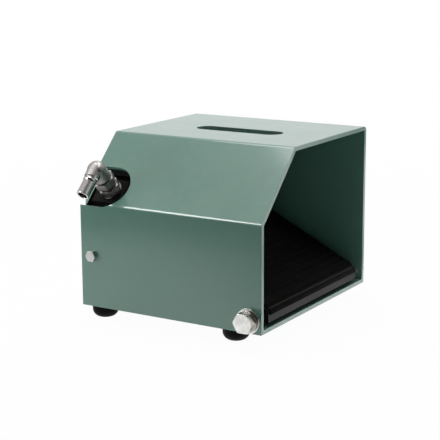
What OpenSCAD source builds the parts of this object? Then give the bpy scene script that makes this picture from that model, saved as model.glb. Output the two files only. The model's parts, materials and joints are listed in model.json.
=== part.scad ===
// Guarded foot pedal that works a hydraulic valve: a folded steel guard stands on four rubber feet, a plate
// pedal swings on a through bolt at the guard's front, and the pedal's underside presses a sprung plunger.
// The plunger moves a spool in a valve body. A drilled port block carries oil up to an elbow in the notch.
// Working axes: x runs across from the guard's left outer face, y runs back from its open front,
// and z runs up from the underside of its floor. in_frame() moves all of it to the part's own origin.

/* [Guard] */
// outside width across the two side walls
guard_w = 216; // [208:1:228]
// depth from the open front to the rear edge
guard_d = 203; // [200:1:212]
// outside height from the floor's underside to the top
guard_h = 165; // [158:1:176]
// height of the left wall up to the bend of the sloping panel
wall_h = 103; // [101:1:106]
// sheet thickness
sheet = 4; // [3.8:0.1:4.4]
// outside radius of the folds
fold_r = 5; // [5:0.5:8]
// length of the carrying slot
slot_l = 97; // [80:1:110]
// width of the carrying slot
slot_w = 24; // [18:1:28]
// distance of the slot's centre from the left outer face
slot_x = 127; // [115:1:140]
// distance of the slot's centre from the front edge
slot_y = 98; // [90:1:102]
// width of the fitting notch in the sloping panel
notch_w = 46; // [42:1:50]

/* [Feet] */
// diameter of a rubber foot
foot_d = 26; // [22:1:28]
// height of a rubber foot
foot_h = 14.6; // [12:0.2:18]
// distance of each foot from the nearer side wall's outer face
foot_in = 20; // [19:0.5:22]
// distance of the front feet from the front edge
foot_front = 38.5; // [34:0.5:44]
// distance of the rear feet ahead of the guard's rear edge
foot_back = 13; // [12.5:0.5:14]

/* [Pedal] */
// slope of the resting pedal above level
rest_angle = 26.5; // [25.5:0.25:27]
// angle the pedal turns through when it is pressed
press_angle = 4.5; // [3.5:0.25:4.75]
// pedal width
pedal_w = 184; // [176:1:188]
// distance of the pedal's front lip behind the guard's front edge
lip_y = 1.8; // [1.5:0.1:1.9]
// pedal plate thickness
plate_t = 4; // [3.6:0.1:4]
// height of the hinge axis above the floor's underside
hinge_z = 12.2; // [12.2:0.1:12.6]
// distance of the hinge axis behind the front edge
hinge_y = 13.3; // [13.3:0.1:13.6]
// radius of the hinge bolt
hinge_r = 6; // [5.8:0.05:6]
// running clearance of the hinge tube on its bolt
run_gap = 0.06; // [0.03:0.01:0.1]
// number of ribs across the tread mat
mat_ribs = 17; // [11:1:21]

/* [Valve] */
// distance of the spool axis from the left outer face
spool_x = 78; // [76:1:80]
// distance of the spool axis ahead of the guard's rear edge
spool_back = 73; // [72:1:74]
// spool radius
spool_r = 6; // [5.6:0.1:6.2]
// radius of the plunger's domed head
dome_r = 10; // [9:0.5:11]
// gap left between the dome and the pedal
dome_gap = 0.35; // [0.3:0.05:0.4]
// spring wire radius
wire_r = 1; // [0.8:0.05:1.05]
// spring turns
spring_turns = 4; // [3:0.25:4.25]

/* [Fittings] */
// distance of the elbow's port axis up the slope from the bend
port_s = 21.5; // [21:0.5:22.5]
// distance of the port axes ahead of the guard's rear edge
port_back = 24; // [23:0.5:25]
// width of the fittings' hexagons across their flats
hex_af = 19; // [17:0.5:20]
// distance of the elbow's corner out from the sloping panel
elbow_out = 29; // [27:0.5:32]
// length of the elbow's arm
arm_l = 31; // [28:0.5:34]
// radius of the threaded ends
thread_r = 5.8; // [5.7:0.05:6.2]

/* [Hidden] */
$fn = 96;
root2 = sqrt(2);
slack = 0.01;

// guard outline
slope_in = guard_h - wall_h;
inner_r = fold_r - sheet;
right_in = guard_w - sheet;
panel_t = sheet;
panel_back = guard_d - 1;
panel_y = panel_back - panel_t;
flange_l = 22;
flange_bend = 5;
flange_low = 12;
flange_top = 88;
panel_bolt_y = guard_d - 13;
panel_bolt_z = 51;

// metric hardware: radius, head across flats, head height
m6_r = 3;
m6_af = 10;
m6_head = 4;
m12_af = 18;
m12_head = 7.5;
m12_nut = 6.5;
washer_r = 12;
washer_t = 2.5;
lock_r = 10.5;
lock_t = 2.5;
clear_hole = 0.3;

// pedal: distances measured square to the plate from the hinge axis
tube_r = 7.3;
under_e = tube_r;
top_e = under_e + plate_t;
mat_t = 2.2;
lip_low = 7.5;
lip_r = 5;
pedal_x = (guard_w - pedal_w) / 2;
spacer_r = tube_r - 0.3;
spool_y = guard_d - spool_back;
pedal_end = spool_y + 20;
rib_t = 4;
rib_in = 14;
end_gap = 0.1;

// height of a line lying e above the hinge axis, at a distance y behind the front edge
function line_z(e, y, a = rest_angle) = hinge_z + (e + sin(a) * (y - hinge_y)) / cos(a);
// height of the dome's centre when the pedal lies at angle a
function dome_z(a) = line_z(under_e - dome_r - dome_gap, spool_y, a);

// valve stack
dome_c = dome_z(rest_angle);
stroke = dome_c - dome_z(rest_angle - press_angle);
body_half = 28;
body_fore = 24;
body_aft = 26;
body_x0 = spool_x - body_half;
body_x1 = spool_x + body_half;
body_y0 = spool_y - body_fore;
body_y1 = spool_y + body_aft;
// the valve's heights follow the height at which its dome meets the pedal
tall = round(50 * dome_c / 67) / 50;
body_top = 52 * tall;
pocket_r = 13.5;
pocket_z = 42 * tall;
seat_t = 4;
seat_r = 13;
rod_r = spool_r - 1;
gland_r = 9.3;
gland_t = 4;
gland_spigot = 5 * tall;
spool_top = 36 * tall;
spool_low = 21 * tall;
plug_r = 9;
plug_top = 9.5 * tall;
upper_z = 32 * tall;
lower_z = 18 * tall;
bore_r = spool_r + 0.05;
gallery_r = 3.5 * tall;
seal_sec = 1;
seal_mid = gallery_r * 1.5;

// keeper: a strip on the tower that reaches over the pedal's rear end
keeper_x = 37;
keeper_w = 22;
keeper_t = 3;
pad_t = 3;
pad_l = 12;
pad_in = 3;
keeper_e = top_e + 0.3 + pad_t;

// port block
block_x0 = 10;
tower_x1 = 50;
tower_gap = 7.5;
tower_y0 = body_y1 + tower_gap;
port_y = guard_d - port_back;
foot_rear = guard_d - foot_back;
block_y1 = panel_y - 1;
block_top = 50 * tall;
keeper_screw_z = line_z(keeper_e, tower_y0) + 13;
tower_top = keeper_screw_z + 6;
riser_x = 38;
small_plug_r = 5.5;
seal_t = 1.5;
face_off = -6.5;
stem_r = 7;
stem_l = 15;
hex_r = hex_af / sqrt(3);

// elbow port point on the sloping panel's outer face
port_p = [port_s / root2, port_y, wall_h + port_s / root2];
// run from the port's mouth down its axis to the riser
port_run = (riser_x - port_p[0]) * root2;
inlet_r = gallery_r + 0.5;
overrun = 6;

// outermost points, which give the part's origin
arm_tip = port_p[0] - (elbow_out + arm_l + thread_r - 0.8) / root2;
arm_side = port_p[0] - (elbow_out + arm_l - 0.8 + thread_r) / root2;
x_low = min(arm_tip, arm_side);
x_high = guard_w + washer_t + m12_nut + 2.5;
outlet_out = 24;
y_high = block_y1 + outlet_out;
origin_x = (x_low + x_high) / 2;
origin_y = y_high / 2;

// ---------- placing ----------

// moves the working axes to the part's origin, at the middle of its footprint on the floor
module in_frame() {
    translate([-origin_x, -origin_y, foot_h]) children();
}

// local z along +x
module along_x() {
    rotate([0, 90, 0]) children();
}

// local z along +y
module along_y() {
    rotate([-90, 0, 0]) children();
}

// local z out of the sloping panel at the port, local x up the slope
module at_port() {
    translate(port_p) rotate([0, -45, 0]) children();
}

// outline drawn in x and z, extruded back along y from y0 over length len
module along_depth(y0, len) {
    translate([0, y0 + len, 0]) rotate([90, 0, 0]) linear_extrude(height = len) children();
}

// outline drawn in y and z, extruded along x from x0 over length len
module along_width(x0, len) {
    translate([x0, 0, 0]) rotate([90, 0, 90]) linear_extrude(height = len) children();
}

// ---------- shared shapes ----------

function unit(v) = v / norm(v);

// the corner area at p, between a and b, that lies outside an arc of radius r
module corner_ear(a, p, b, r) {
    d1 = unit(a - p);
    d2 = unit(b - p);
    half = acos(d1 * d2) / 2;
    run = r / tan(half);
    centre = p + unit(d1 + d2) * r / sin(half);
    difference() {
        polygon([p - (d1 + d2) * 0.4, p + d1 * run, centre, p + d2 * run]);
        translate(centre) circle(r = r);
    }
}

// points along the arc of radius r that rounds the corner p between a and b
function corner_arc(a, p, b, r, steps = 8) =
    let (
        d1 = unit(a - p),
        d2 = unit(b - p),
        half = acos(d1 * d2) / 2,
        turn = 180 - 2 * half,
        centre = p + unit(d1 + d2) * r / sin(half),
        first = p + d1 * r / tan(half) - centre,
        last = p + d2 * r / tan(half) - centre
    )
    [for (k = [0 : steps])
        centre + (first * sin((1 - k / steps) * turn) + last * sin(k / steps * turn)) / sin(turn)];

// polygon whose corner i is rounded to radii[i]; a radius of 0 stays sharp
module bent_outline(pts, radii) {
    n = len(pts);
    difference() {
        polygon(pts);
        for (i = [0 : n - 1])
            if (radii[i] > 0)
                corner_ear(pts[(i + n - 1) % n], pts[i], pts[(i + 1) % n], radii[i]);
    }
}

// the guard's open-bottomed section moved inward by d, with fold radius r
module guard_outline(d, r, low = 0) {
    k = d * tan(22.5);
    bent_outline([[d, low], [d, wall_h - k], [slope_in + k, guard_h - d], [guard_w - d, guard_h - d],
        [guard_w - d, low]], [0, r, r, r, 0]);
}

// hexagonal prism along z with both rims turned back, corners on x
module hex_prism(af, h, both = true) {
    rc = af / sqrt(3);
    cut = 0.12 * rc;
    intersection() {
        cylinder(r = rc, h = h, $fn = 6);
        rotate_extrude() polygon([[0, 0], [both ? rc - cut : rc, 0], [rc, both ? cut * 0.6 : 0],
            [rc, h - cut * 0.6], [rc - cut, h], [0, h]]);
    }
}

// hexagon bolt along z: head from -head_h to 0, shank above it
module hex_bolt(af, head_h, r, len) {
    mirror([0, 0, 1]) rotate(30) hex_prism(af, head_h, false);
    rotate_extrude() polygon([[0, 0], [r, 0], [r, len - r / 5], [r * 4 / 5, len], [0, len]]);
}

// socket head screw along z: head from -head_h to 0, shank above it
module socket_screw(r, len, head_r, head_h) {
    difference() {
        union() {
            translate([0, 0, -head_h]) cylinder(r = head_r, h = head_h);
            cylinder(r = r, h = len);
        }
        translate([0, 0, -head_h - 1]) cylinder(r = head_r * 0.55, h = head_h * 0.55 + 1, $fn = 6);
    }
}

module ring(r_out, r_in, h) {
    difference() {
        cylinder(r = r_out, h = h);
        translate([0, 0, -1]) cylinder(r = r_in, h = h + 2);
    }
}

module torus(r_mid, r_sec) {
    rotate_extrude() translate([r_mid, 0]) circle(r = r_sec, $fn = 32);
}

// ---------- guard ----------

// stadium slot cut along y, length len and width w
module stadium(len, w) {
    for (s = [-1, 1]) translate([0, s * (len - w) / 2]) circle(d = w);
    square([w, len - w], center = true);
}

module guard_shell() {
    color([0.40, 0.52, 0.47]) in_frame() difference() {
        along_depth(0, guard_d) difference() {
            guard_outline(0, fold_r);
            guard_outline(sheet, inner_r, -1);
        }
        carry_slot();
        fitting_notch();
        hinge_holes();
        panel_bolt_holes();
    }
}

// floor welded in between the two walls
module floor_plate() {
    color([0.38, 0.50, 0.45]) in_frame() difference() {
        translate([sheet, 0, 0]) cube([guard_w - 2 * sheet, guard_d, sheet]);
        floor_holes();
    }
}

module carry_slot() {
    translate([slot_x, slot_y, guard_h - 2 * sheet])
        linear_extrude(height = 3 * sheet) stadium(slot_l, slot_w);
}

// U-shaped notch square to the sloping panel, open at the rear edge
module fitting_notch() {
    at_port() translate([0, 0, -2 * sheet]) linear_extrude(height = 3 * sheet) {
        circle(d = notch_w);
        translate([-notch_w / 2, 0]) square([notch_w, guard_d - port_y + 5]);
    }
}

module hinge_holes() {
    translate([-1, hinge_y, hinge_z]) along_x() cylinder(r = hinge_r + clear_hole, h = guard_w + 2);
}

module panel_bolt_holes() {
    translate([-1, panel_bolt_y, panel_bolt_z]) along_x()
        cylinder(r = m6_r + clear_hole, h = guard_w + 2);
}

// centres of the four feet
feet = [[foot_in, foot_front], [guard_w - foot_in, foot_front], [foot_in, foot_rear],
    [guard_w - foot_in, foot_rear]];

// centres of the screws that hold the valve down
base_points = [[body_x0 + 10, body_y0 + 10], [body_x1 - 10, body_y1 - 10],
    [block_x0 + 14, tower_y0 + 6.5], [body_x1 - 11, tower_y0 + 11.5]];

module floor_holes() {
    for (p = feet) translate([p[0], p[1], -1]) cylinder(r = 2.5 + clear_hole, h = sheet + 2);
    for (p = base_points) translate([p[0], p[1], -1]) cylinder(r = m6_r + clear_hole, h = sheet + 2);
}

// ---------- rear panel ----------

// plan of the panel and its two forward flanges
module panel_plan() {
    x0 = sheet;
    x1 = right_in;
    y0 = panel_back - flange_l;
    difference() {
        bent_outline([[x0, y0], [x0, panel_back], [x1, panel_back], [x1, y0]],
            [0, flange_bend, flange_bend, 0]);
        bent_outline([[x0 + panel_t, y0 - 1], [x0 + panel_t, panel_y], [x1 - panel_t, panel_y],
            [x1 - panel_t, y0 - 1]], [0, 0.5, 0.5, 0]);
    }
}

module rear_panel() {
    color([0.38, 0.50, 0.45]) in_frame() difference() {
        intersection() {
            translate([0, 0, sheet]) linear_extrude(height = guard_h - 2 * sheet - 0.5) panel_plan();
            along_depth(guard_d / 2, guard_d) guard_outline(sheet, inner_r);
        }
        // flanges only where the bolts need them
        for (side = [0, 1]) {
            x0 = side == 0 ? 0 : guard_w / 2;
            top = side == 0 ? flange_top : guard_h - 20;
            translate([x0, guard_d / 2, top]) cube([guard_w / 2, panel_y - guard_d / 2, guard_h]);
            translate([x0, guard_d / 2, 0]) cube([guard_w / 2, panel_y - guard_d / 2, flange_low]);
        }
        panel_bolt_holes();
        translate([spool_x, panel_y - 1, lower_z]) along_y() cylinder(r = hex_r + 1.5, h = panel_t + 2);
    }
}

module panel_bolt(side) {
    color([0.72, 0.72, 0.70]) in_frame()
        translate([side < 0 ? 0 : guard_w, panel_bolt_y, panel_bolt_z])
            mirror([side > 0 ? 1 : 0, 0, 0]) along_x() hex_bolt(m6_af, m6_head, m6_r, 2 * sheet + 7);
}

module panel_nut(side) {
    color([0.70, 0.70, 0.68]) in_frame()
        translate([side < 0 ? sheet + panel_t : right_in - panel_t, panel_bolt_y, panel_bolt_z])
            mirror([side > 0 ? 1 : 0, 0, 0]) along_x() difference() {
                rotate(30) hex_prism(m6_af, 5);
                translate([0, 0, -1]) cylinder(r = m6_r, h = 7);
            }
}

module panel_bolt_left() panel_bolt(-1);
module panel_bolt_right() panel_bolt(1);
module panel_nut_left() panel_nut(-1);
module panel_nut_right() panel_nut(1);

// ---------- feet ----------

foot_round = 8;
insert_depth = 8;

// round rubber foot with a rounded lower rim and a moulded thread for its screw
module foot(i) {
    r = foot_d / 2;
    color([0.06, 0.06, 0.06]) in_frame() translate([feet[i][0], feet[i][1], -foot_h])
        rotate_extrude() difference() {
            bent_outline([[0, 0], [r, 0], [r, foot_h], [0, foot_h]], [0, foot_round, 0.6, 0]);
            translate([-1, foot_h - insert_depth]) square([3.5, insert_depth + 1]);
        }
}

// pan head screw that holds a foot from inside the guard
module foot_screw(i) {
    color([0.72, 0.72, 0.70]) in_frame() translate([feet[i][0], feet[i][1], sheet]) difference() {
        union() {
            rotate_extrude() bent_outline([[0, 0], [4.6, 0], [4.6, 3], [0, 3]], [0, 0, 1.6, 0]);
            translate([0, 0, -sheet - insert_depth + 1]) cylinder(r = 2.5, h = sheet + insert_depth);
        }
        translate([0, 0, 1.4]) cylinder(r = 1.6, h = 3, $fn = 6);
    }
}

module foot_front_left() foot(0);
module foot_front_right() foot(1);
module foot_rear_left() foot(2);
module foot_rear_right() foot(3);
module foot_screw_front_left() foot_screw(0);
module foot_screw_front_right() foot_screw(1);
module foot_screw_rear_left() foot_screw(2);
module foot_screw_rear_right() foot_screw(3);

// ---------- hinge ----------

module on_hinge(x) {
    in_frame() translate([x, hinge_y, hinge_z]) along_x() children();
}

module hinge_bolt() {
    x0 = -washer_t - lock_t;
    color([0.75, 0.75, 0.73]) on_hinge(x0) hex_bolt(m12_af, m12_head, hinge_r, x_high - x0);
}

// split spring washer, with its gap towards the rear
module hinge_lock_washer() {
    color([0.66, 0.66, 0.64]) on_hinge(-washer_t - lock_t) difference() {
        ring(lock_r, hinge_r + 0.2, lock_t);
        translate([-1, 0, -1]) rotate(12) cube([1.6, lock_r + 2, lock_t + 2]);
    }
}

module hinge_washer_left() {
    color([0.70, 0.70, 0.68]) on_hinge(-washer_t) ring(washer_r, hinge_r + clear_hole, washer_t);
}

module hinge_washer_right() {
    color([0.70, 0.70, 0.68]) on_hinge(guard_w) ring(washer_r, hinge_r + clear_hole, washer_t);
}

module hinge_nut() {
    color([0.72, 0.72, 0.70]) on_hinge(guard_w + washer_t) difference() {
        rotate(30) hex_prism(m12_af, m12_nut);
        translate([0, 0, -1]) cylinder(r = hinge_r, h = m12_nut + 2);
    }
}

// sleeve that keeps the hinge tube central between the walls
module hinge_spacer(x0, x1) {
    color([0.62, 0.62, 0.60]) on_hinge(x0) ring(spacer_r, hinge_r + clear_hole, x1 - x0);
}

module hinge_spacer_left() hinge_spacer(sheet, pedal_x - end_gap);
module hinge_spacer_right() hinge_spacer(pedal_x + pedal_w + end_gap, right_in);

// ---------- pedal ----------

// point at distance y behind the front edge on the line e above the hinge axis
function on_line(e, y) = [y, line_z(e, y)];
// the pedal's rear end is cut square to the plate
function square_end(e) = let (p = on_line(under_e, pedal_end))
    p + (e - under_e) * [-sin(rest_angle), cos(rest_angle)];

// side view of the plate: upright front lip, bend, and the long slope up to the rear
module plate_side() {
    inner_y = lip_y + plate_t;
    front = [lip_y, lip_low];
    bend = on_line(top_e, lip_y);
    rear_top = square_end(top_e);
    rear_low = square_end(under_e);
    inside = on_line(under_e, inner_y);
    polygon(concat([front],
        corner_arc(front, bend, rear_top, lip_r),
        corner_arc(bend, rear_top, rear_low, 0.8),
        corner_arc(rear_top, rear_low, inside, 0.8),
        [inside],
        corner_arc(inside, [inner_y, lip_low], front, 0.8)));
}

module hinge_solid(r, x0, len) {
    translate([x0, hinge_y, hinge_z]) along_x() cylinder(r = r, h = len);
}

module pedal_plate() {
    color([0.07, 0.07, 0.07]) in_frame() along_width(pedal_x, pedal_w) plate_side();
}

module hinge_tube() {
    color([0.09, 0.09, 0.09]) on_hinge(pedal_x) ring(tube_r, hinge_r + run_gap, pedal_w);
}

// ribbed rubber mat bonded to the plate
module tread_mat() {
    margin = 6;
    y0 = lip_y + 5.2;
    y1 = pedal_end - 6;
    run = (y1 - y0) / cos(rest_angle);
    pitch = run / mat_ribs;
    groove = pitch * 0.32;
    color([0.05, 0.05, 0.05]) in_frame()
        translate([pedal_x + margin / 3, y0, line_z(top_e, y0)]) rotate([rest_angle, 0, 0]) difference() {
            cube([pedal_w - 2 * margin / 3, run, mat_t]);
            for (i = [1 : mat_ribs - 1])
                translate([margin, i * pitch - groove / 2, mat_t - 0.9])
                    cube([pedal_w - 2 * margin / 3 - 2 * margin, groove, mat_t]);
            // room for the keeper's pad
            translate([keeper_x - keeper_w / 2 - 1.5 - pedal_x - margin / 3, run - pad_l - pad_in + 1, -1])
                cube([keeper_w + 3, pad_l + pad_in + 5, mat_t + 2]);
        }
}

// tapered stiffening rib under the plate, welded to it and to the hinge tube
module pedal_rib(x0) {
    y1 = body_y0 - 6;
    color([0.08, 0.08, 0.08]) in_frame() difference() {
        along_width(x0, rib_t) polygon([on_line(under_e, hinge_y + 1), on_line(under_e, y1),
            on_line(under_e - 3, y1), on_line(-3, hinge_y + 26), on_line(-5, hinge_y + 4)]);
        hinge_solid(tube_r, x0 - 1, rib_t + 2);
    }
}

module pedal_rib_left() pedal_rib(pedal_x + rib_in);
module pedal_rib_right() pedal_rib(guard_w - pedal_x - rib_in - rib_t);

// ---------- valve body ----------

module on_spool(z) {
    translate([spool_x, spool_y, z]) children();
}

screw_z = 30 * tall;
head_r = 5;
head_h = 6;
screw_xs = [body_x0 + 7, body_x1 - 7];
stop_p = [body_x1 - 9, body_y1 - 9];
seat_depth = stem_l + 2;

module valve_body() {
    color([0.10, 0.10, 0.11]) in_frame() difference() {
        along_depth(body_y0, body_y1 - body_y0) bent_outline([[body_x0, sheet], [body_x0, body_top],
            [body_x1, body_top], [body_x1, sheet]], [0, 3, 3, 0]);
        on_spool(sheet - 1) cylinder(r = bore_r, h = body_top);
        on_spool(pocket_z) cylinder(r = pocket_r, h = body_top);
        on_spool(sheet - 1) cylinder(r = plug_r, h = plug_top - sheet + 1);
        for (z = [upper_z, lower_z])
            on_spool(z) along_y() cylinder(r = gallery_r, h = body_y1);
        for (x = screw_xs) translate([x, body_y0 - 1, screw_z]) along_y() {
            cylinder(r = head_r + 0.2, h = head_h + 1.5);
            cylinder(r = m6_r + clear_hole, h = body_y1);
        }
        for (i = [0, 1]) base_hole(i);
        translate([stop_p[0], stop_p[1], body_top - 12]) cylinder(r = m6_r, h = 20);
    }
}

base_depth = 10;

module base_hole(i) {
    translate([base_points[i][0], base_points[i][1], sheet - 1]) cylinder(r = m6_r, h = base_depth + 1);
}

// low head screw up through the floor into the valve
module base_screw(i) {
    color([0.25, 0.25, 0.26]) in_frame() translate([base_points[i][0], base_points[i][1], 0])
        socket_screw(m6_r, sheet + base_depth - 1, 5.5, 3.3);
}

module base_screw_1() base_screw(0);
module base_screw_2() base_screw(1);
module base_screw_3() base_screw(2);
module base_screw_4() base_screw(3);

// ---------- port block ----------

// front view: low block behind the valve body, and a tower with a face square to the elbow port
module block_front() {
    face = wall_h + face_off * root2;
    polygon([[block_x0, sheet], [block_x0, face + block_x0], [tower_top - face, tower_top],
        [tower_x1, tower_top], [tower_x1, sheet]]);
}

module port_block() {
    color([0.10, 0.10, 0.11]) in_frame() difference() {
        union() {
            translate([block_x0, body_y1, sheet])
                cube([body_x1 - block_x0, block_y1 - body_y1, block_top - sheet]);
            along_depth(tower_y0, block_y1 - tower_y0) block_front();
        }
        // elbow port, riser and cross drilling
        at_port() translate([0, 0, face_off - seat_depth]) cylinder(r = stem_r, h = seat_depth + 10);
        at_port() translate([0, 0, -port_run - overrun])
            cylinder(r = inlet_r, h = port_run + overrun + face_off - stem_l);
        translate([riser_x, port_y, sheet - 1])
            cylinder(r = gallery_r, h = port_p[2] - port_run / root2 - sheet + 1);
        translate([riser_x, port_y, sheet - 1]) cylinder(r = small_plug_r, h = 7);
        translate([block_x0 - 1, port_y, upper_z]) along_x()
            cylinder(r = gallery_r, h = spool_x - block_x0 + 1);
        translate([block_x0 - 1, port_y, upper_z]) along_x() cylinder(r = small_plug_r, h = 7);
        on_spool(upper_z) along_y() cylinder(r = gallery_r, h = port_y - spool_y);
        // outlet port in the rear face
        on_spool(lower_z) along_y() cylinder(r = gallery_r, h = guard_d);
        translate([spool_x, block_y1 - seat_depth, lower_z]) along_y()
            cylinder(r = stem_r, h = seat_depth + 2);
        // seats of the two ring seals
        for (z = [upper_z, lower_z]) translate([spool_x, body_y1 - 1, z]) along_y()
            cylinder(r = seal_mid + seal_sec + 0.05, h = 3);
        for (x = screw_xs) translate([x, body_y1 - 1, screw_z]) along_y() cylinder(r = m6_r, h = 14);
        for (i = [2, 3]) base_hole(i);
        // room over the rear foot's screw
        translate([feet[2][0], feet[2][1], sheet - 1]) cylinder(r = 6, h = 6);
        translate([keeper_x, tower_y0 - 1, keeper_screw_z]) along_y() cylinder(r = 2.5, h = 11);
        // room for the left wall's nut
        translate([block_x0 - 1, panel_bolt_y, panel_bolt_z]) along_x() cylinder(r = 7, h = 9);
    }
}

module block_screw(x) {
    color([0.20, 0.20, 0.21]) in_frame() translate([x, body_y0 + head_h + 0.5, screw_z]) along_y()
        socket_screw(m6_r, body_y1 - body_y0 - head_h + 10, head_r, head_h);
}

module block_screw_left() block_screw(screw_xs[0]);
module block_screw_right() block_screw(screw_xs[1]);

// ring seal at the joint of valve body and port block
module joint_seal(z) {
    color([0.04, 0.04, 0.04]) in_frame() translate([spool_x, body_y1 + 1, z])
        along_y() torus(seal_mid, seal_sec);
}

module upper_o_ring() joint_seal(upper_z);
module lower_o_ring() joint_seal(lower_z);

module riser_plug() {
    color([0.30, 0.30, 0.31]) in_frame() translate([riser_x, port_y, sheet]) difference() {
        cylinder(r = small_plug_r, h = 6);
        translate([0, 0, -1]) cylinder(r = 2.9, h = 4, $fn = 6);
    }
}

module gallery_plug() {
    color([0.30, 0.30, 0.31]) in_frame() translate([block_x0, port_y, upper_z]) along_x() difference() {
        cylinder(r = small_plug_r, h = 6);
        translate([0, 0, -1]) cylinder(r = 2.9, h = 4, $fn = 6);
    }
}

// ---------- spool, plunger and spring ----------

module bottom_plug() {
    color([0.30, 0.30, 0.31]) in_frame() on_spool(sheet) difference() {
        cylinder(r = plug_r, h = plug_top - sheet);
        translate([0, 0, -1]) cylinder(r = 4, h = 4, $fn = 6);
    }
}

// guide bush with a groove for the rod seal
module gland() {
    color([0.62, 0.53, 0.30]) in_frame() on_spool(pocket_z) rotate_extrude() difference() {
        union() {
            translate([rod_r + 0.06, 0]) square([gland_r - rod_r - 0.06, gland_t]);
            translate([rod_r + 0.06, -gland_spigot]) square([bore_r - rod_r - 0.06, gland_spigot]);
        }
        translate([rod_r, 1]) square([2.9, 2]);
    }
}

module rod_seal() {
    color([0.04, 0.04, 0.04]) in_frame() on_spool(pocket_z + 1) ring(rod_r + 2.9, rod_r + 0.06, 2);
}

// spool with a metering groove and a stud that screws into the plunger
module spool() {
    groove_z = spool_low + 5 * tall;
    groove_h = 6 * tall;
    color([0.68, 0.69, 0.70]) in_frame() on_spool(0) rotate_extrude() polygon([[0, spool_low],
        [spool_r - 0.8, spool_low], [spool_r, spool_low + 0.8], [spool_r, groove_z],
        [spool_r - 2, groove_z + 1.5], [spool_r - 2, groove_z + groove_h - 1.5],
        [spool_r, groove_z + groove_h], [spool_r, spool_top], [2.9, spool_top],
        [2.9, spool_top + 6], [0, spool_top + 6]]);
}

module plunger() {
    color([0.72, 0.73, 0.74]) in_frame() on_spool(0) rotate_extrude() difference() {
        union() {
            translate([0, spool_top]) square([rod_r, dome_c - spool_top]);
            bent_outline([[0, dome_c - seat_t], [seat_r, dome_c - seat_t], [seat_r, dome_c],
                [0, dome_c]], [0, 0, 0.8, 0]);
            intersection() {
                translate([0, dome_c]) circle(r = dome_r);
                translate([0, dome_c - slack]) square([dome_r, dome_r + 1]);
            }
        }
        translate([-1, spool_top - 1]) square([3.9, 7.5]);
    }
}

// round wire spring with closed ends, made of computed rings of points
spring_r = 11.3;
ring_pts = 10;
turn_steps = 24;
spring_l = dome_c - seat_t - pocket_z;
steps = round(spring_turns * turn_steps);

// share of the free height reached after a share f of the turns; the end turns lie nearly flat
function rise(f) = let (e = 0.75 / spring_turns)
    f < e ? f * 0.35 : f > 1 - e ? 1 - (1 - f) * 0.35 : 0.35 * e + (f - e) * (1 - 0.7 * e) / (1 - 2 * e);
function wire_point(i, j) =
    let (a = 360 * i / turn_steps, b = 360 * j / ring_pts, rr = spring_r + wire_r * cos(b))
    [rr * cos(a), rr * sin(a), wire_r + (spring_l - 2 * wire_r) * rise(i / steps) + wire_r * sin(b)];

module return_spring() {
    pts = [for (i = [0 : steps], j = [0 : ring_pts - 1]) wire_point(i, j)];
    sides = [for (i = [0 : steps - 1], j = [0 : ring_pts - 1])
        [i * ring_pts + j, i * ring_pts + (j + 1) % ring_pts,
            (i + 1) * ring_pts + (j + 1) % ring_pts, (i + 1) * ring_pts + j]];
    first = [for (j = [ring_pts - 1 : -1 : 0]) j];
    last = [for (j = [0 : ring_pts - 1]) steps * ring_pts + j];
    color([0.60, 0.61, 0.62]) in_frame() on_spool(pocket_z)
        polyhedron(points = pts, faces = concat(sides, [first, last]), convexity = 8);
}

// ---------- stops ----------

// top of the stop bolt's head, whose front corner the pressed pedal reaches first
stop_z = line_z(under_e, stop_p[1] - m6_af / sqrt(3), rest_angle - press_angle) - 0.1;

// bolt head that the pressed pedal lands on
module stop_bolt() {
    color([0.72, 0.72, 0.70]) in_frame() translate([stop_p[0], stop_p[1], stop_z - m6_head])
        mirror([0, 0, 1]) hex_bolt(m6_af, m6_head, m6_r, stop_z - m6_head - body_top + 11);
}

module stop_nut() {
    color([0.70, 0.70, 0.68]) in_frame() translate([stop_p[0], stop_p[1], body_top]) difference() {
        hex_prism(m6_af, 5);
        translate([0, 0, -1]) cylinder(r = m6_r, h = 7);
    }
}

// bent strip on the tower that reaches over the pedal's rear end and stops its return
module keeper() {
    y1 = tower_y0 - keeper_t;
    tip_y = pedal_end - pad_l - pad_in - 1;
    color([0.12, 0.12, 0.13]) in_frame() difference() {
        along_width(keeper_x - keeper_w / 2, keeper_w) bent_outline([on_line(keeper_e, tip_y),
            on_line(keeper_e + keeper_t, tip_y), on_line(keeper_e + keeper_t, y1),
            [y1, tower_top], [tower_y0, tower_top], on_line(keeper_e, tower_y0)],
            [0, 0, 1, 0, 0, 3.5]);
        translate([keeper_x, y1 - 1, keeper_screw_z]) along_y() cylinder(r = 2.7, h = keeper_t + 2);
    }
}

module keeper_pad() {
    color([0.05, 0.05, 0.05]) in_frame() along_width(keeper_x - keeper_w / 2, keeper_w)
        polygon([on_line(keeper_e - pad_t, pedal_end - pad_in - pad_l),
            on_line(keeper_e, pedal_end - pad_in - pad_l), on_line(keeper_e, pedal_end - pad_in),
            on_line(keeper_e - pad_t, pedal_end - pad_in)]);
}

module keeper_screw() {
    color([0.25, 0.25, 0.26]) in_frame() translate([keeper_x, tower_y0 - keeper_t, keeper_screw_z])
        along_y() socket_screw(2.5, keeper_t + 9, 4.5, 3);
}

// ---------- fittings ----------

neck_r = 6.5;
adapter_hex = 8;
nut_hex = 8.5;
nut_low = 6;
// turn of the two hexagons from the slope's line, as they were tightened
hex_turn = 38;
bore_in = 3.6;

module at_face() {
    in_frame() at_port() translate([0, 0, face_off]) children();
}

module port_seal() {
    color([0.35, 0.35, 0.34]) at_face() ring(hex_r - 0.4, stem_r, seal_t);
}

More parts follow.
